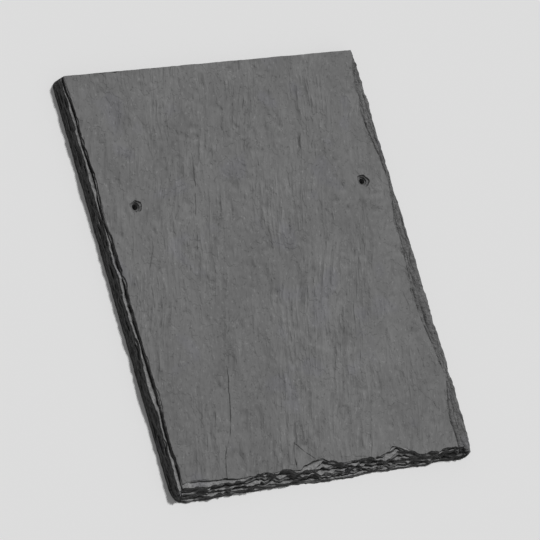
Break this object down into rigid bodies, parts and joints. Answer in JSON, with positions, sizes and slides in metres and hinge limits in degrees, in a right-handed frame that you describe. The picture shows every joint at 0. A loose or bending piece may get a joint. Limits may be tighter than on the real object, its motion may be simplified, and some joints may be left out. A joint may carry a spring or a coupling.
{
  "type": "slate roof tile",
  "caption": "Flat rectangular roof slate with chipped, ledged edges and punched nail holes near its head.",
  "frame": {"origin": "middle of the flat back, on the surface that the tile lies on", "axes": "+X along the course, to the right when the face is seen with its head up; +Y from the butt to the head, up the slope of the roof; +Z out of the weather face"},
  "size_m": [0.305, 0.356, 0.012],
  "materials": {
    "slate": "split slate, matt grey with a fine lengthwise grain and rough broken edges"
  },
  "bodies": {
    "root": {"slate_tile": "slate"}
  },
  "joints": []
}
